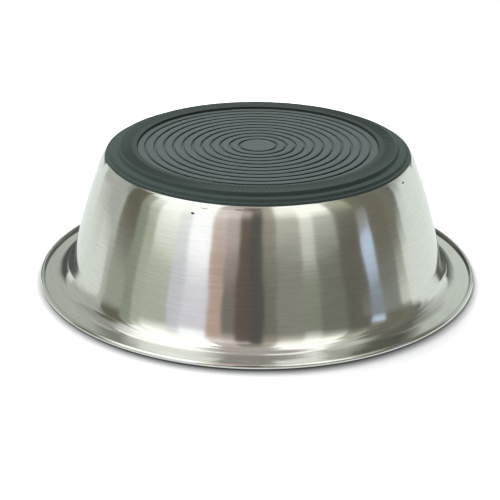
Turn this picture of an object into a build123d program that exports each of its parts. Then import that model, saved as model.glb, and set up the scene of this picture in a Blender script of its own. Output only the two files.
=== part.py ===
from build123d import *
import os
from math import asin, atan2, cos, degrees, floor, radians, sin, sqrt, tan

# A steel feeding bowl with a moulded rubber base, standing on its rim with the base up.
# Lengths are in millimetres and angles in degrees.
# Z runs up the bowl's axis from the surface that the rim stands on, which is z = 0.

# Steel bowl, sizes over its outer face
RIM_DIAMETER = 237.6
NECK_DIAMETER = 204.6
BASE_DIAMETER = 164.2
STEEL_HEIGHT = 68.6
SHEET = 0.7
WALL_CURVE_RADIUS = 360.0
BASE_CORNER_RADIUS = 2.5
BASE_EASE_RADIUS = 28.0
BASE_EASE_TURN = 13.0
NECK_EASE_RADIUS = 30.0
NECK_EASE_TURN = 12.0
NECK_FILLET_RADIUS = 9.5
FLANGE_SLOPE = 3.5
BEAD_DIAMETER = 2.4
BEAD_GAP = 0.2

# Film that bonds the rubber to the steel
BOND_THICKNESS = 0.2
BOND_WRAP_TURN = 35.0

# Rubber base, from its outer edge inwards and from its underside up
EDGE_DRAFT = 0.4
LIP_RISE = 0.5
LIP_WIDTH = 1.4
SHOULDER_RISE = 1.4
SHOULDER_WIDTH = 3.7
FOOT_RISE = 1.9
FOOT_WIDTH = 9.7
FIELD_DEPTH = 1.3
FIELD_DRAFT = 0.3
STEP_DRAFT = 0.9
STEP_ROUND = 0.35

# Ring grooves in the rubber field
GROOVE_PITCH = 5.0
GROOVE_FIRST_RADIUS = 10.0
GROOVE_EDGE_LAND = 3.0
GROOVE_WIDTH = 1.5
GROOVE_DEPTH = 0.9
GROOVE_FLOOR_SHARE = 0.76
GROOVE_ROUND_SHARE = 0.13


def direction(angle):
    """Unit vector of the section plane at an angle from the radius axis."""
    return Vector(cos(radians(angle)), sin(radians(angle)))


# Rolled bead and flange
bead_radius = BEAD_DIAMETER / 2
bead_bore_radius = bead_radius - SHEET
bead_centre = Vector(RIM_DIAMETER / 2 - bead_radius, bead_radius)
bead_turn = 270 + degrees(asin((bead_bore_radius - BEAD_GAP) / bead_radius))
flange_outward = direction(-FLANGE_SLOPE)
flange_normal = direction(90 - FLANGE_SLOPE)
flange_end = bead_centre - flange_normal * bead_bore_radius

# Wall, an arc between the sharp corners that its two fillets round off
neck_rise = (flange_end.X - NECK_DIAMETER / 2) * tan(radians(FLANGE_SLOPE))
neck_point = Vector(NECK_DIAMETER / 2, flange_end.Y + neck_rise)
base_point = Vector(BASE_DIAMETER / 2, STEEL_HEIGHT)
wall_chord = neck_point - base_point
wall_inset = sqrt(WALL_CURVE_RADIUS**2 - (wall_chord.length / 2) ** 2)
wall_centre = (base_point + neck_point) / 2 + wall_chord.normalized().rotate(Axis.Z, -90) * wall_inset

# Base, the corner and then an easing arc, inside the wall's arc and under the steel base
base_ease = BASE_EASE_RADIUS - BASE_CORNER_RADIUS
base_reach_along = WALL_CURVE_RADIUS - BASE_EASE_RADIUS + base_ease * cos(radians(BASE_EASE_TURN))
base_reach_across = base_ease * sin(radians(BASE_EASE_TURN))
base_reach = sqrt(base_reach_along**2 + base_reach_across**2)
base_rise_over_wall = STEEL_HEIGHT - BASE_CORNER_RADIUS - wall_centre.Y
base_lead = degrees(atan2(base_reach_across, base_reach_along))
wall_top_angle = degrees(asin(base_rise_over_wall / base_reach)) - base_lead
base_ease_centre = wall_centre + direction(wall_top_angle) * (WALL_CURVE_RADIUS - BASE_EASE_RADIUS)
corner_centre = base_ease_centre + direction(wall_top_angle + BASE_EASE_TURN) * base_ease

# Neck, an easing arc and then a fillet, outside the wall's arc and above the flange
neck_ease = NECK_EASE_RADIUS - NECK_FILLET_RADIUS
neck_reach_along = WALL_CURVE_RADIUS + NECK_EASE_RADIUS - neck_ease * cos(radians(NECK_EASE_TURN))
neck_reach_across = neck_ease * sin(radians(NECK_EASE_TURN))
neck_reach = sqrt(neck_reach_along**2 + neck_reach_across**2)
neck_rise_over_wall = NECK_FILLET_RADIUS - (wall_centre - flange_end).dot(flange_normal)
neck_lead = degrees(atan2(neck_reach_across, neck_reach_along))
wall_foot_angle = degrees(asin(neck_rise_over_wall / neck_reach)) + neck_lead - FLANGE_SLOPE
neck_ease_centre = wall_centre + direction(wall_foot_angle) * (WALL_CURVE_RADIUS + NECK_EASE_RADIUS)
neck_centre = neck_ease_centre - direction(wall_foot_angle + NECK_EASE_TURN) * neck_ease
flange_run = (flange_end - neck_centre).dot(flange_outward)

# Turns of the section line at each bend
corner_turn = 90 - wall_top_angle - BASE_EASE_TURN
wall_turn = wall_top_angle - wall_foot_angle
neck_turn = 90 - FLANGE_SLOPE - wall_foot_angle - NECK_EASE_TURN

# Heights of the rubber base
seat_height = STEEL_HEIGHT + BOND_THICKNESS
lip_height = seat_height + LIP_RISE
shoulder_height = lip_height + SHOULDER_RISE
foot_height = shoulder_height + FOOT_RISE
field_height = foot_height - FIELD_DEPTH


def base_line(depth, turn):
    """Section of the flat base and part of its corner, a depth under the steel's outer face."""
    flat = Line((0, STEEL_HEIGHT - depth), (corner_centre.X, STEEL_HEIGHT - depth))
    corner = JernArc(flat @ 1, flat % 1, BASE_CORNER_RADIUS - depth, -turn)
    return [flat, corner]


def bowl_line(depth):
    """Section of the whole bowl, from its axis to the rolled edge, a depth under its outer face."""
    flat, corner = base_line(depth, corner_turn)
    upper_ease = JernArc(corner @ 1, corner % 1, BASE_EASE_RADIUS - depth, -BASE_EASE_TURN)
    wall = JernArc(upper_ease @ 1, upper_ease % 1, WALL_CURVE_RADIUS - depth, -wall_turn)
    lower_ease = JernArc(wall @ 1, wall % 1, NECK_EASE_RADIUS + depth, NECK_EASE_TURN)
    neck = JernArc(lower_ease @ 1, lower_ease % 1, NECK_FILLET_RADIUS + depth, neck_turn)
    flange = Line(neck @ 1, neck @ 1 + (neck % 1) * flange_run)
    bead = JernArc(flange @ 1, flange % 1, bead_bore_radius + depth, bead_turn)
    return [flat, corner, upper_ease, wall, lower_ease, neck, flange, bead]


def spin(outline):
    """Solid of revolution of a closed section outline, drawn as radius and height."""
    return revolve(Plane.XZ * make_face(outline), axis=Axis.Z)


def sheet(upper, lower):
    """Solid of revolution between two section lines that both start on the axis."""
    start = Line(lower[0] @ 0, upper[0] @ 0)
    end = Line(upper[-1] @ 1, lower[-1] @ 1)
    return spin([*upper, end, *lower, start])


def steel_bowl():
    """One drawn sheet: flat base, curved wall, flange and a hollow bead rolled at the rim."""
    return sheet(bowl_line(0), bowl_line(SHEET))


def bond_layer():
    """Thin film on the steel base that wraps a little way round its corner."""
    return sheet(base_line(-BOND_THICKNESS, BOND_WRAP_TURN), base_line(0, BOND_WRAP_TURN))


def step_points(edge):
    """Corners of the rubber's lip, shoulder and foot ring, from its outer edge to the field."""
    lip = edge.X - EDGE_DRAFT
    shoulder = lip - LIP_WIDTH - STEP_DRAFT
    foot = shoulder - SHOULDER_WIDTH - STEP_DRAFT
    recess = foot - FOOT_WIDTH
    return [
        (lip, lip_height),
        (lip - LIP_WIDTH, lip_height),
        (shoulder, shoulder_height),
        (shoulder - SHOULDER_WIDTH, shoulder_height),
        (foot, foot_height),
        (recess, foot_height),
        (recess - FIELD_DRAFT, field_height),
    ]


def groove_points(radius):
    """Corners of one ring groove, from its outer side to its inner side."""
    mouth = GROOVE_WIDTH / 2
    floor_half = mouth * GROOVE_FLOOR_SHARE
    return [
        (radius + mouth, field_height),
        (radius + floor_half, field_height - GROOVE_DEPTH),
        (radius - floor_half, field_height - GROOVE_DEPTH),
        (radius - mouth, field_height),
    ]


def rubber_base():
    """One moulding: a grooved field inside a raised foot ring, with a stepped edge round it."""
    underside = base_line(-BOND_THICKNESS, BOND_WRAP_TURN)
    edge = underside[-1] @ 1
    steps = step_points(edge)
    field_radius = steps[-1][0]
    groove_count = 1 + floor((field_radius - GROOVE_EDGE_LAND - GROOVE_FIRST_RADIUS) / GROOVE_PITCH)
    grooves = []
    for index in reversed(range(groove_count)):
        grooves += groove_points(GROOVE_FIRST_RADIUS + index * GROOVE_PITCH)
    groove_round = GROOVE_WIDTH * GROOVE_FLOOR_SHARE * GROOVE_ROUND_SHARE
    rounds = [STEP_ROUND] * len(steps) + [groove_round] * len(grooves)
    top = FilletPolyline(edge, *steps, *grooves, (0, field_height), radius=rounds)
    middle = Line(top @ 1, underside[0] @ 0)
    return spin([*top.edges(), middle, *underside])


nodes = {
    "steel_bowl": steel_bowl(),
    "bond_layer": bond_layer(),
    "rubber_base": rubber_base(),
}

os.makedirs("parts", exist_ok=True)
for name, solid in nodes.items():
    solid.label = name
    export_step(solid, f"parts/{name}.step")
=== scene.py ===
import math

import bpy
from mathutils import Matrix, Vector


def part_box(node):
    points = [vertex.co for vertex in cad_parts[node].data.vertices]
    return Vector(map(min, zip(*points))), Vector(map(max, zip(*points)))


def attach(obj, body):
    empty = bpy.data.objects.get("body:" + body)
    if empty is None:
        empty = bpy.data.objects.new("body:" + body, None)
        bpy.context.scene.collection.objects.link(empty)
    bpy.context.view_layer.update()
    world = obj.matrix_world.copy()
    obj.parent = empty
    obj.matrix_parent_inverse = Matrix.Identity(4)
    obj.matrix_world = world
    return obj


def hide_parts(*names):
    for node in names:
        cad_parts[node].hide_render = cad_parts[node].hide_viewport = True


# A steel feeding bowl with a moulded rubber base, standing on its rim with the base up.
# Lengths are in metres, Z runs up the bowl's axis, and the rim stands on z = 0.
# A section is drawn as radius and height. Azimuths run from the camera's side of the bowl,
# to the right as the camera sees it.

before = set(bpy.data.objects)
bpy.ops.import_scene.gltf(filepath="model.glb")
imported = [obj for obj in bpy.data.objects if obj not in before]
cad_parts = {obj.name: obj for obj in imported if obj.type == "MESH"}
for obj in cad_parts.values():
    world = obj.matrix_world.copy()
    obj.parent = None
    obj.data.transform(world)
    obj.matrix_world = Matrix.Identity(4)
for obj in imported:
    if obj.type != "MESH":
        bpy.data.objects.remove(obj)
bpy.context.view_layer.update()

MM = 0.001
QUARTER_TURN = math.pi / 2

# Sizes that the frame gives
rim_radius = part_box("steel_bowl")[1].x
steel_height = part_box("steel_bowl")[1].z
foot_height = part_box("rubber_base")[1].z

# Steel sheet, sizes over its outer face
SHEET = 0.7 * MM
NECK_RADIUS = 102.3 * MM
BASE_RADIUS = 82.1 * MM
WALL_CURVE_RADIUS = 360 * MM
CORNER_RADIUS = 2.5 * MM
BASE_EASE_RADIUS = 28 * MM
BASE_EASE_TURN = math.radians(13)
NECK_EASE_RADIUS = 30 * MM
NECK_EASE_TURN = math.radians(12)
FILLET_RADIUS = 9.5 * MM
FLANGE_SLOPE = math.radians(3.5)
BEAD_RADIUS = 1.2 * MM
BEAD_GAP = 0.2 * MM

# Rubber base, from its outer edge inwards and from its foot ring down
PAD_SEAT = 0.2 * MM
PAD_WRAP = math.radians(35)
EDGE_DRAFT = 0.4 * MM
LIP_DROP = 3.3 * MM
LIP_WIDTH = 1.4 * MM
SHOULDER_DROP = 1.9 * MM
SHOULDER_WIDTH = 3.7 * MM
FOOT_WIDTH = 9.7 * MM
FIELD_DEPTH = 1.3 * MM
FIELD_DRAFT = 0.3 * MM
STEP_DRAFT = 0.9 * MM
STEP_ROUND = 0.35 * MM

# Ring grooves in the rubber field
GROOVE_COUNT = 11
GROOVE_PITCH = 5.0 * MM
GROOVE_FIRST_RADIUS = 10.0 * MM
GROOVE_WIDTH = 1.5 * MM
GROOVE_FLOOR = 1.14 * MM
GROOVE_DEPTH = 0.9 * MM
GROOVE_ROUND = 0.15 * MM

# Radial ribs in a shallow channel round the foot ring
RIB_COUNT = 190
RIB_START = 2.6 * MM
RIB_LENGTH = 6.6 * MM
RIB_WIDTH = 1.15 * MM
RIB_HEIGHT = 0.22 * MM
RIB_SINK = 0.15 * MM
RIB_CREST_SHARE = 0.35
CHANNEL_DRAFT = 0.5 * MM

# Marks that adhesive left on the steel: azimuths in degrees, height and half width
GLUE_MARKS = [
    ((-22.4, -21.1), 63.2 * MM, 0.55 * MM),
    ((61.6, 63.4), 65.0 * MM, 0.45 * MM),
    ((-7.6, -4.6), 66.6 * MM, 0.2 * MM),
    ((-3.2, 1.2), 66.8 * MM, 0.14 * MM),
    ((-19.6, -16.4), 66.0 * MM, 0.13 * MM),
    ((50.4, 53.2), 66.4 * MM, 0.2 * MM),
]
GLUE_RISE_SHARE = 0.35
GLUE_STATIONS = 12
GLUE_SIDES = 10

# Mesh fineness
SEGMENTS = 360
ARC_SAG = 0.004 * MM
ARC_LEAST_STEPS = 3
FLAT_EDGE = 0.3 * MM
SHARP_ANGLE = math.radians(40)

# Camera, as the photograph was taken
IMAGE_SIDE = 500
FOCAL_PIXELS = 1317.1
CAMERA_PLACE = Vector((0, -0.66707, 0.30045))
CAMERA_PITCH = math.radians(23.52)
CAMERA_YAW = math.radians(-0.336)
CAMERA_ROLL = math.radians(0.400)

# Plain colours
WHITE = (1, 1, 1, 1)
BLACK = (0, 0, 0, 1)

# Brushed steel: its tints, the brush lines round the axis and the slow waves of the sheet
STEEL_DARK = (0.57, 0.58, 0.55, 1)
STEEL_LIGHT = (0.71, 0.72, 0.69, 1)
STEEL_ROUGHNESS = (0.1, 0.15)
STEEL_ANISOTROPY = 0.5
STEEL_ANISOTROPY_TURN = 0.25
BRUSH_TURNS = 7.0
BRUSH_LINES = 900.0
BRUSH_DETAIL = 4.0
BRUSH_DEPTH = 0.004 * MM
WAVE_SCALE = 45.0
WAVE_DETAIL = 1.0
WAVE_DEPTH = 0.25 * MM

# Painted shade in the crease along the bead's inner side, with the half widths where it starts and is
# full
CREASE_SHADE_COLOUR = (0.1, 0.105, 0.095, 1)
CREASE_SHARE = 0.8
CREASE_INSET = 0.35 * MM
CREASE_HALF_WIDTHS = (0.7 * MM, 0.3 * MM)

# Moulded rubber: its tints on the field and on the foot ring, the colour of the painted shade in its
# hollows, its mottle and its grain
FIELD_DARK = (0.088, 0.113, 0.111, 1)
FIELD_LIGHT = (0.104, 0.131, 0.128, 1)
FOOT_DARK = (0.044, 0.068, 0.061, 1)
FOOT_LIGHT = (0.056, 0.083, 0.074, 1)
PAINTED_SHADE_COLOUR = (0.018, 0.024, 0.023, 1)
RUBBER_ROUGHNESS = (0.48, 0.62)
RUBBER_SPECULAR = 0.2
MOTTLE_SCALE = 45.0
MOTTLE_DETAIL = 5.0
GRAIN_SCALE = 2600.0
GRAIN_DETAIL = 2.0
GRAIN_DEPTH = 0.02 * MM

# Painted shade on the walls of the hollows, and in the grooves, deeper at the front and back than at the
# sides
HOLLOW_EDGE = 0.25 * MM
GROOVE_FLOOR_LIGHT = 0.62
GROOVE_SIDE_SHARE = 0.22
GROOVE_TURN = (0.2, 0.75)

# Painted shade on the foot ring: out from its inner edge, between its ribs near one diameter, on its far
# side
INNER_SHADE_SHARE = 0.3
INNER_SHADE_REACH = (9.5 * MM, 5 * MM)
RIB_SHADE_SHARE = 0.95
RIB_SHADE_LEAST = 0.08
RIB_SHADE_AZIMUTH = math.radians(-54)
RIB_SHADE_TURN = (0.8, 0.96)
FAR_SHADE_SHARE = 0.5
FAR_SHADE_REACH = (15 * MM, 75 * MM)

# Adhesive
GLUE_COLOURS = ((0.012, 0.012, 0.011, 1), (0.035, 0.036, 0.033, 1))
GLUE_ROUGHNESS = (0.45, 0.7)
GLUE_SCALE = 700.0
GLUE_DETAIL = 3.0
GLUE_DEPTH = 0.05 * MM

# Floor, with the glow that keeps it white and the painted soft shadow close round the rim
FLOOR_RADIUS = 0.7
FLOOR_COLOUR = (0.9, 0.9, 0.9, 1)
FLOOR_GLOW = 0.25
FLOOR_FAR_GLOW = 0.9
FLOOR_FADE = (0.2, 0.5)
RIM_SHADE_SHIFT = 4.5 * MM
RIM_SHADE_INSIDE = 5.5 * MM
RIM_SHADE_OUTSIDE = 4.5 * MM
RIM_SHADE_LEVEL = 0.06

# Lamp, and the even light all round
LAMP_PLACE = Vector((-0.37, 0.52, 1.2))
LAMP_WATTS = 14
LAMP_DIAMETER = 0.4
SKY_LIGHT = (0.36, 0.37, 0.38, 1)

# Reflected sweep, from the horizon to straight up: sine of the elevation, colour
SWEEP_STOPS = [
    (0.05, (0.92, 0.98, 0.94)),
    (0.2, (0.6, 0.63, 0.59)),
    (0.5, (0.6, 0.63, 0.58)),
    (0.64, (0.95, 0.95, 0.9)),
    (0.77, (1.65, 1.65, 1.6)),
    (0.95, (1.65, 1.65, 1.6)),
    (0.98, (0.55, 0.5, 0.47)),
]

# Distance of the studio cards from the bowl, and their mesh
CARD_DISTANCE = 2.5
CARD_ROWS = 8
CARD_COLUMNS = 16

# Studio cards round the bowl: name, azimuths and elevations in degrees, lower and upper colour,
# and the elevations between which the lower colour turns into the upper one
CARDS = [
    ("left_far", (-134, -118), (-25, 30), (0.92, 0.97, 0.9), (0.58, 0.6, 0.55), (-9, 1)),
    ("left_near", (-118, -105), (-25, 30), (0.92, 0.97, 0.9), (0.55, 0.57, 0.52), (-5, 0)),
    ("left_edge", (-105, -100), (-25, 30), (0.6, 0.63, 0.56), (0.36, 0.37, 0.32), (6, 22)),
    ("left_post", (-100, -85), (-25, 30), (0.45, 0.48, 0.4), (0.18, 0.17, 0.12), (-4, 6)),
    ("left_pane", (-85, -77), (-25, 30), (0.36, 0.39, 0.3), (0.5, 0.5, 0.42), (8, 28)),
    ("left_mid_pane", (-77, -69), (-25, 30), (0.55, 0.6, 0.48), (1.3, 1.35, 1.25), (10, 30)),
    ("left_bright_pane", (-69, -53), (-25, 30), (0.58, 0.63, 0.51), (1.5, 1.55, 1.45), (4, 18)),
    ("left_window", (-53, -44), (-25, 30), (0.8, 0.81, 0.88), (1.45, 1.45, 1.4), (6, 24)),
    ("left_window_edge", (-44, -29), (-25, 30), (0.94, 0.91, 1.02), (1.55, 1.55, 1.6), (4, 14)),
    ("left_sky", (-84, -29), (30, 60), (1.55, 1.55, 1.5), (2.0, 2.0, 1.95), (38, 54)),
    ("left_dark_near", (-100, -84), (30, 56), (0.3, 0.3, 0.25), (1.6, 1.6, 1.55), (34, 49)),
    ("left_dark", (-116, -100), (30, 56), (0.18, 0.18, 0.145), (1.5, 1.5, 1.45), (39, 54)),
    ("left_dark_far", (-136, -116), (30, 56), (0.42, 0.43, 0.38), (1.4, 1.4, 1.35), (45, 56)),
    ("left_turn", (-152, -136), (30, 48), (0.52, 0.54, 0.49), (0.28, 0.28, 0.24), (41, 46)),
    ("brown_wall", (-29, -20), (-25, 40), (0.66, 0.49, 0.41), (1.05, 0.93, 0.9), (13, 25)),
    ("brown_shade", (-20, -12), (-25, 40), (0.26, 0.23, 0.205), (0.95, 0.82, 0.77), (7, 27)),
    ("brown_upper", (-29, -12), (40, 60), (0.75, 0.68, 0.62), (0.65, 0.6, 0.55), (40, 60)),
    ("dark_edge", (-12, -4), (-25, 40), (0.17, 0.125, 0.105), (0.62, 0.54, 0.5), (20, 34)),
    ("dark_gap", (-4, 4), (-25, 40), (0.12, 0.12, 0.105), (0.24, 0.22, 0.19), (26, 40)),
    ("gap_upper", (-12, 4), (40, 60), (0.28, 0.26, 0.23), (0.46, 0.42, 0.37), (40, 60)),
    ("grey_wall", (4, 12), (-25, 60), (0.25, 0.235, 0.195), (0.58, 0.52, 0.44), (8, 30)),
    ("grey_glow", (12, 28), (-25, 45), (0.33, 0.33, 0.275), (1.45, 1.4, 1.28), (12, 36)),
    ("grey_streak", (28, 37), (-25, 45), (0.31, 0.33, 0.26), (1.55, 1.55, 1.42), (7, 26)),
    ("olive_wall", (37, 53), (-25, 45), (0.23, 0.235, 0.19), (1.55, 1.55, 1.42), (10, 32)),
    ("right_post", (53, 64), (-25, 45), (0.18, 0.17, 0.135), (0.6, 0.6, 0.48), (12, 36)),
    ("right_post_foot", (64, 69), (-25, 0), (0.32, 0.33, 0.3), (0.18, 0.17, 0.135), (-7, 0)),
    ("right_post_top", (64, 69), (0, 45), (0.18, 0.17, 0.135), (0.6, 0.6, 0.48), (12, 36)),
    ("blue_pane", (69, 78), (-25, 9), (0.33, 0.37, 0.42), (0.75, 0.9, 1.15), (-2, 5)),
    ("blue_upper", (69, 78), (9, 45), (0.42, 0.4, 0.38), (0.25, 0.235, 0.18), (9, 18)),
    ("right_wall", (78, 93), (-25, 45), (0.3, 0.32, 0.29), (0.22, 0.205, 0.16), (-5, 3)),
    ("right_edge", (93, 101), (-25, 45), (0.85, 0.9, 0.8), (0.24, 0.23, 0.185), (-9, 1)),
    ("right_turn", (101, 108), (-25, 45), (0.95, 1.0, 0.92), (0.22, 0.22, 0.19), (-4, 3)),
    ("right_sheet", (108, 116), (-25, 16), (0.95, 1.0, 0.95), (0.5, 0.53, 0.5), (-3, 14)),
    ("right_sheet_top", (108, 116), (16, 45), (0.5, 0.53, 0.5), (0.2, 0.2, 0.17), (16, 25)),
    ("right_mid", (116, 124), (-25, 30), (0.94, 1.0, 0.94), (0.52, 0.55, 0.52), (8, 19)),
    ("right_far", (124, 143), (-25, 30), (0.94, 1.0, 0.94), (0.6, 0.63, 0.59), (6, 30)),
    ("right_dark_near", (116, 128), (30, 54), (0.4, 0.41, 0.38), (0.17, 0.165, 0.135), (30, 38)),
    ("right_dark", (128, 160), (30, 54), (0.6, 0.63, 0.59), (0.18, 0.175, 0.14), (32, 43)),
    ("right_upper", (82, 116), (45, 54), (0.2, 0.195, 0.155), (0.22, 0.22, 0.185), (45, 54)),
    ("right_crown", (82, 160), (54, 70), (0.22, 0.22, 0.185), (0.75, 0.75, 0.67), (54, 61)),
    ("right_shoulder", (62, 82), (45, 64), (0.48, 0.48, 0.4), (0.85, 0.85, 0.76), (45, 60)),
    ("back_shade_right", (143, 164), (-1, 16), (0.11, 0.12, 0.115), (0.42, 0.45, 0.42), (3, 16)),
    ("back_shade_left", (196, 217), (-2, 14), (0.3, 0.32, 0.3), (0.1, 0.11, 0.105), (-2, 1)),
    ("right_back", (143, 160), (16, 30), (0.42, 0.45, 0.42), (0.75, 0.8, 0.75), (16, 22)),
    ("left_back", (208, 217), (14, 30), (0.1, 0.11, 0.105), (0.58, 0.61, 0.56), (14, 22)),
    ("back_wall_right", (160, 186), (16, 40), (0.75, 0.8, 0.74), (0.32, 0.325, 0.27), (27, 40)),
    ("back_wall_left", (186, 195), (17, 40), (0.6, 0.64, 0.58), (0.42, 0.43, 0.37), (28, 38)),
    ("back_turn_left", (195, 208), (14, 40), (0.1, 0.11, 0.105), (0.56, 0.59, 0.54), (14, 22)),
    ("back_ceiling", (172, 208), (40, 80), (0.55, 0.5, 0.45), (0.6, 0.55, 0.5), (40, 80)),
    ("ceiling", (-42, 20), (60, 80), (0.6, 0.54, 0.5), (0.6, 0.54, 0.5), (60, 80)),
]


def polar(angle):
    """Unit vector of a section, or of a plan, at an angle from its first axis."""
    return Vector((math.cos(angle), math.sin(angle)))


def part_way(ends, share):
    """Value at a share of the way between two values."""
    return ends[0] + (ends[1] - ends[0]) * share


# Bead and flange of the steel section
bead_bore = BEAD_RADIUS - SHEET
bead_centre = Vector((rim_radius - BEAD_RADIUS, BEAD_RADIUS))
flange_out = polar(-FLANGE_SLOPE)
flange_up = polar(QUARTER_TURN - FLANGE_SLOPE)
flange_angle = 3 * QUARTER_TURN - FLANGE_SLOPE
flange_end = bead_centre - flange_up * bead_bore
bead_end_angle = flange_angle + 3 * QUARTER_TURN + math.asin((bead_bore - BEAD_GAP) / BEAD_RADIUS)

# Wall arc, through the sharp corners that its two fillets round off
neck_point = flange_end - flange_out * ((flange_end.x - NECK_RADIUS) / flange_out.x)
base_point = Vector((BASE_RADIUS, steel_height))
wall_chord = neck_point - base_point
wall_inset = math.sqrt(WALL_CURVE_RADIUS**2 - (wall_chord.length / 2) ** 2)
wall_inward = Vector((wall_chord.y, -wall_chord.x)).normalized()
wall_centre = (base_point + neck_point) / 2 + wall_inward * wall_inset

# Base, the corner and an easing arc inside the wall's arc
base_ease = BASE_EASE_RADIUS - CORNER_RADIUS
base_reach = Vector((
    WALL_CURVE_RADIUS - BASE_EASE_RADIUS + base_ease * math.cos(BASE_EASE_TURN),
    base_ease * math.sin(BASE_EASE_TURN),
))
base_rise = steel_height - CORNER_RADIUS - wall_centre.y
wall_top_angle = math.asin(base_rise / base_reach.length) - math.atan2(base_reach.y, base_reach.x)
corner_angle = wall_top_angle + BASE_EASE_TURN
base_ease_centre = wall_centre + polar(wall_top_angle) * (WALL_CURVE_RADIUS - BASE_EASE_RADIUS)
corner_centre = base_ease_centre + polar(corner_angle) * base_ease

# Neck, an easing arc and a fillet outside the wall's arc
neck_ease = NECK_EASE_RADIUS - FILLET_RADIUS
neck_reach = Vector((
    WALL_CURVE_RADIUS + NECK_EASE_RADIUS - neck_ease * math.cos(NECK_EASE_TURN),
    neck_ease * math.sin(NECK_EASE_TURN),
))
neck_drop = FILLET_RADIUS - (wall_centre - flange_end).dot(flange_up)
neck_lead = math.atan2(neck_reach.y, neck_reach.x)
wall_foot_angle = math.asin(neck_drop / neck_reach.length) + neck_lead - FLANGE_SLOPE
neck_angle = wall_foot_angle + NECK_EASE_TURN
neck_ease_centre = wall_centre + polar(wall_foot_angle) * (WALL_CURVE_RADIUS + NECK_EASE_RADIUS)
fillet_centre = neck_ease_centre - polar(neck_angle) * neck_ease

# Radii and heights of the rubber base
pad_edge = corner_centre + polar(QUARTER_TURN - PAD_WRAP) * (CORNER_RADIUS + PAD_SEAT)
lip_radius = pad_edge.x - EDGE_DRAFT
shoulder_radius = lip_radius - LIP_WIDTH - STEP_DRAFT
foot_radius = shoulder_radius - SHOULDER_WIDTH - STEP_DRAFT
recess_radius = foot_radius - FOOT_WIDTH
rib_start = recess_radius + RIB_START
rib_end = rib_start + RIB_LENGTH
lip_height = foot_height - LIP_DROP
shoulder_height = foot_height - SHOULDER_DROP
rib_floor = foot_height - RIB_HEIGHT
field_height = foot_height - FIELD_DEPTH


def arc(centre, radius, start, end):
    """Points of a section arc between two angles, both ends included."""
    step = 2 * math.acos(1 - ARC_SAG / radius)
    steps = max(ARC_LEAST_STEPS, math.ceil(abs(end - start) / step))
    return [centre + polar(start + (end - start) * i / steps) * radius for i in range(steps + 1)]


def rounded(corners, radius):
    """A section line through corners, with each inner corner rounded off."""
    line = [corners[0]]
    for before, corner, after in zip(corners, corners[1:], corners[2:]):
        back = (before - corner).normalized()
        ahead = (after - corner).normalized()
        half = back.angle(ahead) / 2
        centre = corner + (back + ahead).normalized() * radius / math.sin(half)
        first = corner + back * radius / math.tan(half) - centre
        last = corner + ahead * radius / math.tan(half) - centre
        start = math.atan2(first.y, first.x)
        line += arc(centre, radius, start, start - first.angle_signed(last))
    return line + [corners[-1]]


def bowl_face(depth):
    """Section line of the steel from its axis to the rolled edge, a depth under its outer face."""
    ease_start = math.pi + wall_foot_angle
    fillet_start = math.pi + neck_angle
    line = [Vector((0, steel_height - depth))]
    line += arc(corner_centre, CORNER_RADIUS - depth, QUARTER_TURN, corner_angle)
    line += arc(base_ease_centre, BASE_EASE_RADIUS - depth, corner_angle, wall_top_angle)[1:]
    line += arc(wall_centre, WALL_CURVE_RADIUS - depth, wall_top_angle, wall_foot_angle)[1:]
    line += arc(neck_ease_centre, NECK_EASE_RADIUS + depth, ease_start, fillet_start)[1:]
    line += arc(fillet_centre, FILLET_RADIUS + depth, fillet_start, flange_angle)[1:]
    bead = arc(bead_centre, bead_bore + depth, flange_angle, bead_end_angle)
    # A point close to each end of the flange keeps the face between them flat in its shading
    line += [line[-1] + flange_out * FLAT_EDGE, bead[0] - flange_out * FLAT_EDGE]
    return line + bead


def groove_corners(radius):
    """Corners of one ring groove, with half a pitch of the field on each side."""
    return [
        Vector((radius - GROOVE_PITCH / 2, field_height)),
        Vector((radius - GROOVE_WIDTH / 2, field_height)),
        Vector((radius - GROOVE_FLOOR / 2, field_height - GROOVE_DEPTH)),
        Vector((radius + GROOVE_FLOOR / 2, field_height - GROOVE_DEPTH)),
        Vector((radius + GROOVE_WIDTH / 2, field_height)),
        Vector((radius + GROOVE_PITCH / 2, field_height)),
    ]


def pad_section():
    """Section line of the rubber from its axis over its top, round its edge and back under it."""
    line = [Vector((0, field_height)), Vector((GROOVE_FIRST_RADIUS - GROOVE_PITCH / 2, field_height))]
    for index in range(GROOVE_COUNT):
        line += rounded(groove_corners(GROOVE_FIRST_RADIUS + index * GROOVE_PITCH), GROOVE_ROUND)[1:]
    steps = [
        line[-1],
        Vector((recess_radius - FIELD_DRAFT, field_height)),
        Vector((recess_radius, foot_height)),
        Vector((rib_start, foot_height)),
        Vector((rib_start + CHANNEL_DRAFT, rib_floor)),
        Vector((rib_end - CHANNEL_DRAFT, rib_floor)),
        Vector((rib_end, foot_height)),
        Vector((foot_radius, foot_height)),
        Vector((foot_radius + STEP_DRAFT, shoulder_height)),
        Vector((shoulder_radius, shoulder_height)),
        Vector((shoulder_radius + STEP_DRAFT, lip_height)),
        Vector((lip_radius, lip_height)),
        pad_edge,
    ]
    line += rounded(steps, STEP_ROUND)[1:]
    line += arc(corner_centre, CORNER_RADIUS + PAD_SEAT, QUARTER_TURN - PAD_WRAP, QUARTER_TURN)[1:]
    return line + [Vector((0, steel_height + PAD_SEAT))]


def new_object(name, data):
    """An object that holds some data, linked into the scene."""
    made = bpy.data.objects.new(name, data)
    bpy.context.scene.collection.objects.link(made)
    return made


def smooth_mesh(name, verts, faces):
    """A smooth-shaded object that keeps its sharp corners."""
    mesh = bpy.data.meshes.new(name)
    mesh.from_pydata(verts, [], faces)
    mesh.polygons.foreach_set("use_smooth", [True] * len(faces))
    mesh.set_sharp_from_angle(angle=SHARP_ANGLE)
    return new_object(name, mesh)


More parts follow.
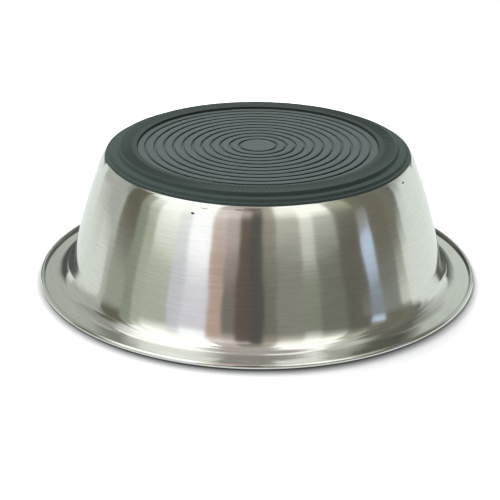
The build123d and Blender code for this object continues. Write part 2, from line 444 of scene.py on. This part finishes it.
def lathe(name, section):
    """A closed mesh turned from a section line that starts and ends on the axis."""
    turns = [polar(math.tau * i / SEGMENTS) for i in range(SEGMENTS)]
    verts, faces, rings = [], [], []
    for point in section:
        first = len(verts)
        if point.x == 0:
            verts.append((0, 0, point.y))
            rings.append([first] * SEGMENTS)
        else:
            verts += [(*(turn * point.x), point.y) for turn in turns]
            rings.append(range(first, first + SEGMENTS))
    for upper, lower in zip(rings, rings[1:]):
        for i in range(SEGMENTS):
            corners = (upper[i - 1], lower[i - 1], lower[i], upper[i])
            # On the axis two corners are one point, and the face is a triangle
            faces.append(tuple(dict.fromkeys(corners)))
    return smooth_mesh(name, verts, faces)


def bar_mesh(name, bars):
    """One mesh of closed bars, each drawn through its rings of points and capped at both ends."""
    verts, faces = [], []
    for rings in bars:
        size = len(rings[0])
        first = len(verts)
        last = first + size * (len(rings) - 1)
        verts += [point for ring in rings for point in ring]
        for start in range(first, last, size):
            for i in range(size):
                j = (i + 1) % size
                faces.append((start + i, start + j, start + size + j, start + size + i))
        faces.append(tuple(reversed(range(first, first + size))))
        faces.append(tuple(range(last, last + size)))
    return smooth_mesh(name, verts, faces)


def foot_rib(turn):
    """Rings of one radial bar across the foot ring's channel."""
    half = RIB_WIDTH / 2
    crest = half * RIB_CREST_SHARE
    outline = [
        (-half, rib_floor - RIB_SINK),
        (half, rib_floor - RIB_SINK),
        (half, rib_floor),
        (crest, foot_height),
        (-crest, foot_height),
        (-half, rib_floor),
    ]
    out = polar(turn)
    side = Vector((-out.y, out.x))
    return [[(*(out * radius + side * x), z) for x, z in outline] for radius in (rib_start, rib_end)]


def glue_mark(azimuths, height, half_width):
    """Rings of one flat tapered bead that lies along the steel just under the rubber's edge."""
    angle = math.asin((height - base_ease_centre.y) / BASE_EASE_RADIUS)
    seat = base_ease_centre + polar(angle) * BASE_EASE_RADIUS
    rings = []
    for station in range(GLUE_STATIONS):
        share = (station + 0.5) / GLUE_STATIONS
        reach = half_width * math.sqrt(1 - (2 * share - 1) ** 2)
        turn = polar(math.radians(part_way(azimuths, share)) - QUARTER_TURN)
        ring = []
        for side in range(GLUE_SIDES):
            across = polar(-math.tau * side / GLUE_SIDES) * reach
            lift = polar(angle) * across.x * GLUE_RISE_SHARE
            point = seat + lift + polar(angle + QUARTER_TURN) * across.y
            ring.append((*(turn * point.x), point.y))
        rings.append(ring)
    return rings


def connect(tree, value, socket):
    """Links an output to an input socket, or sets the socket to a plain value."""
    if isinstance(value, bpy.types.NodeSocket):
        tree.links.new(value, socket)
    else:
        socket.default_value = value


def add(tree, kind, inputs, **settings):
    """Adds a node, sets its own settings, and sets or links its inputs."""
    made = tree.nodes.new(kind)
    for key, value in settings.items():
        setattr(made, key, value)
    for key, value in inputs.items():
        connect(tree, value, made.inputs[key])
    return made


def calc(tree, operation, *values):
    """Output of a math node on the values."""
    return add(tree, "ShaderNodeMath", dict(enumerate(values)), operation=operation).outputs[0]


def vector_calc(tree, operation, inputs, output="Vector"):
    """Output of a vector math node on the inputs."""
    return add(tree, "ShaderNodeVectorMath", inputs, operation=operation).outputs[output]


def apart(tree, value, middle):
    """Distance of a value from a middle value."""
    return calc(tree, "ABSOLUTE", calc(tree, "SUBTRACT", value, middle))


def rest_of(tree, share):
    """What a share leaves of one."""
    return calc(tree, "SUBTRACT", 1.0, share)


def ramp(tree, value, start, end):
    """Share from 0 to 1 of a value's way between two values."""
    inputs = {"Value": value, "From Min": start, "From Max": end}
    return add(tree, "ShaderNodeMapRange", inputs).outputs[0]


def spread(tree, share, least, most):
    """Value at a share, from 0 to 1, of the way between two values."""
    inputs = {"Value": share, "To Min": least, "To Max": most}
    return add(tree, "ShaderNodeMapRange", inputs).outputs[0]


def mix(tree, share, first, second):
    """Colour between two colours."""
    made = add(tree, "ShaderNodeMix", {"Factor": share}, data_type="RGBA")
    for key, value in (("A", first), ("B", second)):
        socket = next(i for i in made.inputs if i.name == key and i.type == "RGBA")
        connect(tree, value, socket)
    return next(o for o in made.outputs if o.type == "RGBA")


def gradient(tree, value, stops):
    """Colour of a ramp at a value, from pairs of place and colour."""
    made = add(tree, "ShaderNodeValToRGB", {0: value})
    elements = made.color_ramp.elements
    while len(elements) < len(stops):
        elements.new(1)
    for element, (place, colour) in zip(elements, stops):
        element.position = place
        element.color = (*colour, 1)
    return made.outputs[0]


def noise(tree, vector, scale, detail):
    """Noise from 0 to 1 at a vector."""
    inputs = {"Vector": vector, "Scale": scale, "Detail": detail}
    return add(tree, "ShaderNodeTexNoise", inputs).outputs["Fac"]


def bump(tree, height, depth, **under):
    """Normal of a surface that a height from 0 to 1 lifts by a depth, over a given normal if any."""
    return add(tree, "ShaderNodeBump", {"Height": height, "Distance": depth, **under}).outputs[0]


def object_place(tree):
    """Object coordinates of a point."""
    return add(tree, "ShaderNodeTexCoord", {}).outputs["Object"]


def component(tree, vector, axis):
    """One component of a vector."""
    return add(tree, "ShaderNodeSeparateXYZ", {0: vector}).outputs[axis]


def axis_place(tree):
    """Object coordinates of a point, its distance from the axis and its direction from the axis."""
    place = object_place(tree)
    parts = {"X": component(tree, place, "X"), "Y": component(tree, place, "Y")}
    flat = add(tree, "ShaderNodeCombineXYZ", parts).outputs[0]
    radius = vector_calc(tree, "LENGTH", {0: flat}, "Value")
    out = vector_calc(tree, "NORMALIZE", {0: flat})
    return place, radius, out


def new_material(name):
    """An empty node material and its node tree."""
    material = bpy.data.materials.new(name)
    material.use_nodes = True
    material.node_tree.nodes.clear()
    return material, material.node_tree


def surface(tree, shader):
    """Makes a shader node the tree's surface."""
    add(tree, "ShaderNodeOutputMaterial", {"Surface": shader.outputs[0]})


def steel_material():
    """Brushed steel, with fine lines round the axis, slow waves and painted shade in the crease along
    the bead.
    """
    material, tree = new_material("brushed_steel")
    place, radius, out = axis_place(tree)
    along = calc(tree, "SUBTRACT", component(tree, place, "Z"), radius)
    lift = add(tree, "ShaderNodeCombineXYZ", {"Z": calc(tree, "MULTIPLY", along, BRUSH_LINES)})
    turned = vector_calc(tree, "SCALE", {0: out, "Scale": BRUSH_TURNS})
    brushed = vector_calc(tree, "ADD", {0: turned, 1: lift.outputs[0]})
    lines = noise(tree, brushed, 1, BRUSH_DETAIL)
    waves = bump(tree, noise(tree, place, WAVE_SCALE, WAVE_DETAIL), WAVE_DEPTH)
    # Painted shade in the crease along the bead's inner side
    crease_radius = rim_radius - 2 * BEAD_RADIUS + CREASE_INSET
    crease_shade = ramp(tree, apart(tree, radius, crease_radius), *CREASE_HALF_WIDTHS)
    sheet = mix(tree, lines, STEEL_DARK, STEEL_LIGHT)
    tangent = add(tree, "ShaderNodeTangent", {}, direction_type="RADIAL", axis="Z")
    surface(tree, add(tree, "ShaderNodeBsdfPrincipled", {
        "Base Color": mix(tree, calc(tree, "MULTIPLY", crease_shade, CREASE_SHARE), sheet, CREASE_SHADE_COLOUR),
        "Metallic": 1.0,
        "Roughness": spread(tree, lines, *STEEL_ROUGHNESS),
        "Anisotropic": STEEL_ANISOTROPY,
        "Anisotropic Rotation": STEEL_ANISOTROPY_TURN,
        "Tangent": tangent.outputs[0],
        "Normal": bump(tree, lines, BRUSH_DEPTH, Normal=waves),
    }))
    return material


def groove_shade(tree, height, out):
    """Painted shade of the ring grooves, most on their walls and at the front and back of the field."""
    middle = field_height - GROOVE_DEPTH / 2
    off_wall = ramp(tree, apart(tree, height, middle), GROOVE_DEPTH / 2 - HOLLOW_EDGE, GROOVE_DEPTH / 2)
    above_floor = ramp(tree, height, middle - HOLLOW_EDGE, middle)
    floor_light = calc(tree, "MAXIMUM", above_floor, GROOVE_FLOOR_LIGHT)
    hollow = rest_of(tree, calc(tree, "MULTIPLY", off_wall, floor_light))
    facing = calc(tree, "ABSOLUTE", component(tree, out, "Y"))
    settled = calc(tree, "MAXIMUM", ramp(tree, facing, *GROOVE_TURN), GROOVE_SIDE_SHARE)
    return calc(tree, "MULTIPLY", hollow, settled)


def rib_shade(tree, height, radius, out):
    """Painted shade between the ribs, deep only near one diameter of the foot ring."""
    between = ramp(tree, height, foot_height, rib_floor)
    within = calc(tree, "LESS_THAN", radius, rib_end)
    deepest = Vector((math.sin(RIB_SHADE_AZIMUTH), -math.cos(RIB_SHADE_AZIMUTH), 0))
    toward = calc(tree, "ABSOLUTE", vector_calc(tree, "DOT_PRODUCT", {0: out, 1: deepest}, "Value"))
    deep = calc(tree, "MAXIMUM", ramp(tree, toward, *RIB_SHADE_TURN), RIB_SHADE_LEAST)
    shade = calc(tree, "MULTIPLY", calc(tree, "MULTIPLY", between, within), deep)
    return calc(tree, "MULTIPLY", shade, RIB_SHADE_SHARE)


def foot_colour(tree, mottle, place, height, radius, out):
    """Colour of the foot ring, with painted shade on its inner part, between its ribs and on its far
    side.
    """
    inner = ramp(tree, radius, *(recess_radius + reach for reach in INNER_SHADE_REACH))
    far = ramp(tree, component(tree, place, "Y"), *FAR_SHADE_REACH)
    colour = mix(tree, mottle, FOOT_DARK, FOOT_LIGHT)
    colour = mix(tree, calc(tree, "MULTIPLY", inner, INNER_SHADE_SHARE), colour, PAINTED_SHADE_COLOUR)
    colour = mix(tree, rib_shade(tree, height, radius, out), colour, PAINTED_SHADE_COLOUR)
    return mix(tree, calc(tree, "MULTIPLY", far, FAR_SHADE_SHARE), colour, PAINTED_SHADE_COLOUR)


def rubber_material():
    """Moulded rubber, paler on the field than on the foot ring, with painted shade on the walls of its
    hollows.
    """
    material, tree = new_material("moulded_rubber")
    place, radius, out = axis_place(tree)
    height = component(tree, place, "Z")
    mottle = noise(tree, place, MOTTLE_SCALE, MOTTLE_DETAIL)
    field = mix(tree, mottle, FIELD_DARK, FIELD_LIGHT)
    foot = foot_colour(tree, mottle, place, height, radius, out)
    on_foot = ramp(tree, radius, recess_radius - FIELD_DRAFT, recess_radius)
    off_grooves = calc(tree, "MAXIMUM", rest_of(tree, groove_shade(tree, height, out)), on_foot)
    # Painted shade on the recess wall between the field and the foot ring
    recess_wall = apart(tree, radius, recess_radius - FIELD_DRAFT / 2)
    off_wall = ramp(tree, recess_wall, FIELD_DRAFT / 2, FIELD_DRAFT / 2 + HOLLOW_EDGE)
    clear = calc(tree, "MULTIPLY", off_grooves, off_wall)
    grain = noise(tree, place, GRAIN_SCALE, GRAIN_DETAIL)
    surface(tree, add(tree, "ShaderNodeBsdfPrincipled", {
        "Base Color": mix(tree, clear, PAINTED_SHADE_COLOUR, mix(tree, on_foot, field, foot)),
        "Roughness": spread(tree, mottle, *RUBBER_ROUGHNESS),
        "Specular IOR Level": RUBBER_SPECULAR,
        "Normal": bump(tree, grain, GRAIN_DEPTH),
    }))
    return material


def glue_material():
    """Uneven black adhesive."""
    material, tree = new_material("adhesive")
    lumps = noise(tree, object_place(tree), GLUE_SCALE, GLUE_DETAIL)
    surface(tree, add(tree, "ShaderNodeBsdfPrincipled", {
        "Base Color": mix(tree, lumps, *GLUE_COLOURS),
        "Roughness": spread(tree, lumps, *GLUE_ROUGHNESS),
        "Normal": bump(tree, lumps, GLUE_DEPTH),
    }))
    return material


def photo_camera():
    """The camera, placed and turned as the photograph was taken."""
    data = bpy.data.cameras.new("camera")
    data.lens = FOCAL_PIXELS / IMAGE_SIDE * data.sensor_width
    camera = new_object("camera", data)
    heading = polar(QUARTER_TURN - CAMERA_YAW)
    ahead = Vector((*(heading * math.cos(CAMERA_PITCH)), -math.sin(CAMERA_PITCH)))
    level = Vector((heading.y, -heading.x, 0))
    upright = level.cross(ahead)
    across = math.cos(CAMERA_ROLL) * level + math.sin(CAMERA_ROLL) * upright
    above = math.cos(CAMERA_ROLL) * upright - math.sin(CAMERA_ROLL) * level
    turn = Matrix((across, above, -ahead)).transposed().to_4x4()
    camera.matrix_world = Matrix.Translation(CAMERA_PLACE) @ turn
    bpy.context.scene.camera = camera


def studio_world():
    """White to the camera, a sweep graded by elevation to reflections, and even light elsewhere."""
    world = bpy.data.worlds.new("studio")
    bpy.context.scene.world = world
    world.use_nodes = True
    tree = world.node_tree
    tree.nodes.clear()
    path = add(tree, "ShaderNodeLightPath", {}).outputs
    direction = add(tree, "ShaderNodeTexCoord", {}).outputs["Generated"]
    sweep = gradient(tree, component(tree, direction, "Z"), SWEEP_STOPS)
    mirrored = calc(tree, "MAXIMUM", path["Is Glossy Ray"], path["Is Transmission Ray"])
    seen = mix(tree, mirrored, SKY_LIGHT, sweep)
    colour = mix(tree, path["Is Camera Ray"], seen, WHITE)
    background = add(tree, "ShaderNodeBackground", {"Color": colour})
    add(tree, "ShaderNodeOutputWorld", {"Surface": background.outputs[0]})


def floor_material():
    """White paper with a painted soft shadow round the rim, that glows a little where it is seen."""
    material, tree = new_material("white_paper")
    place = object_place(tree)
    # Painted shadow round the rim, with its middle shifted to the front
    shifted = vector_calc(tree, "ADD", {0: place, 1: (0, RIM_SHADE_SHIFT, 0)})
    shade = add(tree, "ShaderNodeMapRange", {
        "Value": vector_calc(tree, "LENGTH", {0: shifted}, "Value"),
        "From Min": rim_radius - RIM_SHADE_INSIDE,
        "From Max": rim_radius + RIM_SHADE_OUTSIDE,
        "To Min": RIM_SHADE_LEVEL,
    }, interpolation_type="SMOOTHSTEP").outputs[0]
    path = add(tree, "ShaderNodeLightPath", {}).outputs
    seen = calc(tree, "MAXIMUM", path["Is Camera Ray"], path["Is Glossy Ray"])
    seen = calc(tree, "MAXIMUM", seen, path["Is Transmission Ray"])
    distance = vector_calc(tree, "LENGTH", {0: place}, "Value")
    far_glow = calc(tree, "MULTIPLY", ramp(tree, distance, *FLOOR_FADE), FLOOR_FAR_GLOW)
    glow = calc(tree, "ADD", far_glow, FLOOR_GLOW)
    strength = calc(tree, "MULTIPLY", glow, calc(tree, "MULTIPLY", seen, shade))
    paper = add(tree, "ShaderNodeBsdfDiffuse", {"Color": mix(tree, shade, BLACK, FLOOR_COLOUR)})
    light = add(tree, "ShaderNodeEmission", {"Strength": strength})
    surface(tree, add(tree, "ShaderNodeAddShader", {0: paper.outputs[0], 1: light.outputs[0]}))
    return material


def floor():
    """A round white table top."""
    edge = [(*(polar(math.tau * i / SEGMENTS) * FLOOR_RADIUS), 0) for i in range(SEGMENTS)]
    top = smooth_mesh("floor", edge, [tuple(range(SEGMENTS))])
    top.data.materials.append(floor_material())
    top.visible_glossy = False


def lamp():
    """A soft lamp behind and above the bowl, aimed at it."""
    light = bpy.data.lights.new("lamp", "AREA")
    light.shape = "DISK"
    light.size = LAMP_DIAMETER
    light.energy = LAMP_WATTS
    made = new_object("lamp", light)
    made.location = LAMP_PLACE
    made.rotation_euler = LAMP_PLACE.to_track_quat("Z", "Y").to_euler()
    made.visible_glossy = False


def card_material(name, lower, upper, change):
    """A glow whose lower colour turns into its upper one between two elevations in degrees."""
    material, tree = new_material(name)
    rise = component(tree, object_place(tree), "Z")
    elevation = calc(tree, "ARCSINE", calc(tree, "DIVIDE", rise, CARD_DISTANCE))
    share = ramp(tree, elevation, math.radians(change[0]), math.radians(change[1]))
    colour = mix(tree, share, (*lower, 1), (*upper, 1))
    surface(tree, add(tree, "ShaderNodeEmission", {"Color": colour}))
    return material


def card(name, azimuths, elevations, lower, upper, change):
    """A curved studio card that only reflections see, between two azimuths and two elevations."""
    verts, faces = [], []
    row_size = CARD_COLUMNS + 1
    for row in range(CARD_ROWS + 1):
        rise = math.radians(part_way(elevations, row / CARD_ROWS))
        for column in range(row_size):
            turn = math.radians(part_way(azimuths, column / CARD_COLUMNS)) - QUARTER_TURN
            out = (*(polar(turn) * math.cos(rise)), math.sin(rise))
            verts.append(Vector(out) * CARD_DISTANCE)
    for row in range(CARD_ROWS):
        for column in range(CARD_COLUMNS):
            first = row * row_size + column
            faces.append((first, first + 1, first + row_size + 1, first + row_size))
    made = smooth_mesh(name, verts, faces)
    made.data.materials.append(card_material(name, lower, upper, change))
    made.visible_camera = False
    made.visible_diffuse = False
    made.visible_shadow = False


# Steel bowl
steel = lathe("steel_shell", bowl_face(0) + bowl_face(SHEET)[::-1])
steel.data.materials.append(steel_material())
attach(steel, "root")
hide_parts("steel_bowl")

# Rubber base and its ribs
rubber = rubber_material()
pad = lathe("rubber_pad", pad_section())
pad.data.materials.append(rubber)
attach(pad, "root")
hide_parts("rubber_base")

ribs = bar_mesh("foot_ribs", [foot_rib(math.tau * index / RIB_COUNT) for index in range(RIB_COUNT)])
ribs.data.materials.append(rubber)
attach(ribs, "root")

# Adhesive film and marks
glue = glue_material()
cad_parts["bond_layer"].material_slots[0].material = glue
marks = bar_mesh("glue_marks", [glue_mark(*mark) for mark in GLUE_MARKS])
marks.data.materials.append(glue)
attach(marks, "root")

# Camera and studio
photo_camera()
bpy.context.scene.view_settings.view_transform = "Standard"
studio_world()
floor()
lamp()
for settings in CARDS:
    card(*settings)
